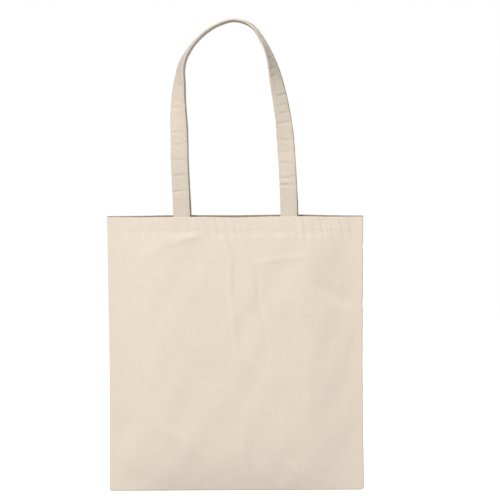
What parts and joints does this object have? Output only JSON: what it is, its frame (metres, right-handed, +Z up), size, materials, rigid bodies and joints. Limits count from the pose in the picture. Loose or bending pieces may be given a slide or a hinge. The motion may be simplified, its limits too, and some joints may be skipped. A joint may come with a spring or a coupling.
{
  "type": "canvas tote bag",
  "caption": "Unlined flat canvas tote bag with a turned, stitched hem at its mouth and long shoulder handles that fold down over the panels.",
  "frame": {"origin": "on the bag's bottom edge, midway across it and midway between its front and back panels", "axes": "+Z up towards the handles, +X to the right of someone facing the front panel, which faces -Y"},
  "size_m": [0.38, 0.051, 0.7016],
  "materials": {
    "canvas": "unbleached plain-weave cotton canvas, matte",
    "handle_canvas": "the same canvas folded to four layers, matte",
    "thread": "cotton sewing thread, natural"
  },
  "bodies": {
    "seams": {"left_side_seam": "canvas", "left_side_seam_overlock": "thread", "left_side_seam_stitching": "thread", "right_side_seam": "canvas", "right_side_seam_overlock": "thread", "right_side_seam_stitching": "thread", "bottom_seam": "canvas", "bottom_seam_overlock": "thread", "bottom_seam_stitching": "thread"},
    "front_side": {"front_panel": "canvas", "front_hem": "canvas", "front_hem_stitching": "thread", "front_left_handle_end": "handle_canvas", "front_right_handle_end": "handle_canvas", "front_left_tack_stitching": "thread", "front_right_tack_stitching": "thread"},
    "back_side": {"back_panel": "canvas", "back_hem": "canvas", "back_hem_stitching": "thread", "back_left_handle_end": "handle_canvas", "back_right_handle_end": "handle_canvas", "back_left_tack_stitching": "thread", "back_right_tack_stitching": "thread"},
    "front_loop": {"front_handle": "handle_canvas", "front_handle_stitching": "thread"},
    "back_loop": {"back_handle": "handle_canvas", "back_handle_stitching": "thread"}
  },
  "joints": [
    {"name": "front_mouth_opening", "type": "hinge", "parent": "seams", "child": "front_side", "pos_m": [0, -0.0022, 0], "axis": [1, 0, 0], "range_deg": [0, 5]},
    {"name": "back_mouth_opening", "type": "hinge", "parent": "seams", "child": "back_side", "pos_m": [0, 0.0022, 0], "axis": [1, 0, 0], "range_deg": [-5, 0]},
    {"name": "front_handle_fold", "type": "hinge", "parent": "front_side", "child": "front_loop", "pos_m": [0, -0.0096, 0.41], "axis": [1, 0, 0], "range_deg": [0, 170]},
    {"name": "back_handle_fold", "type": "hinge", "parent": "back_side", "child": "back_loop", "pos_m": [0, 0.0096, 0.412], "axis": [1, 0, 0], "range_deg": [-170, 0]}
  ],
  "couplings": [
    {"joint": "back_mouth_opening", "follows": "front_mouth_opening", "ratio": -1}
  ]
}
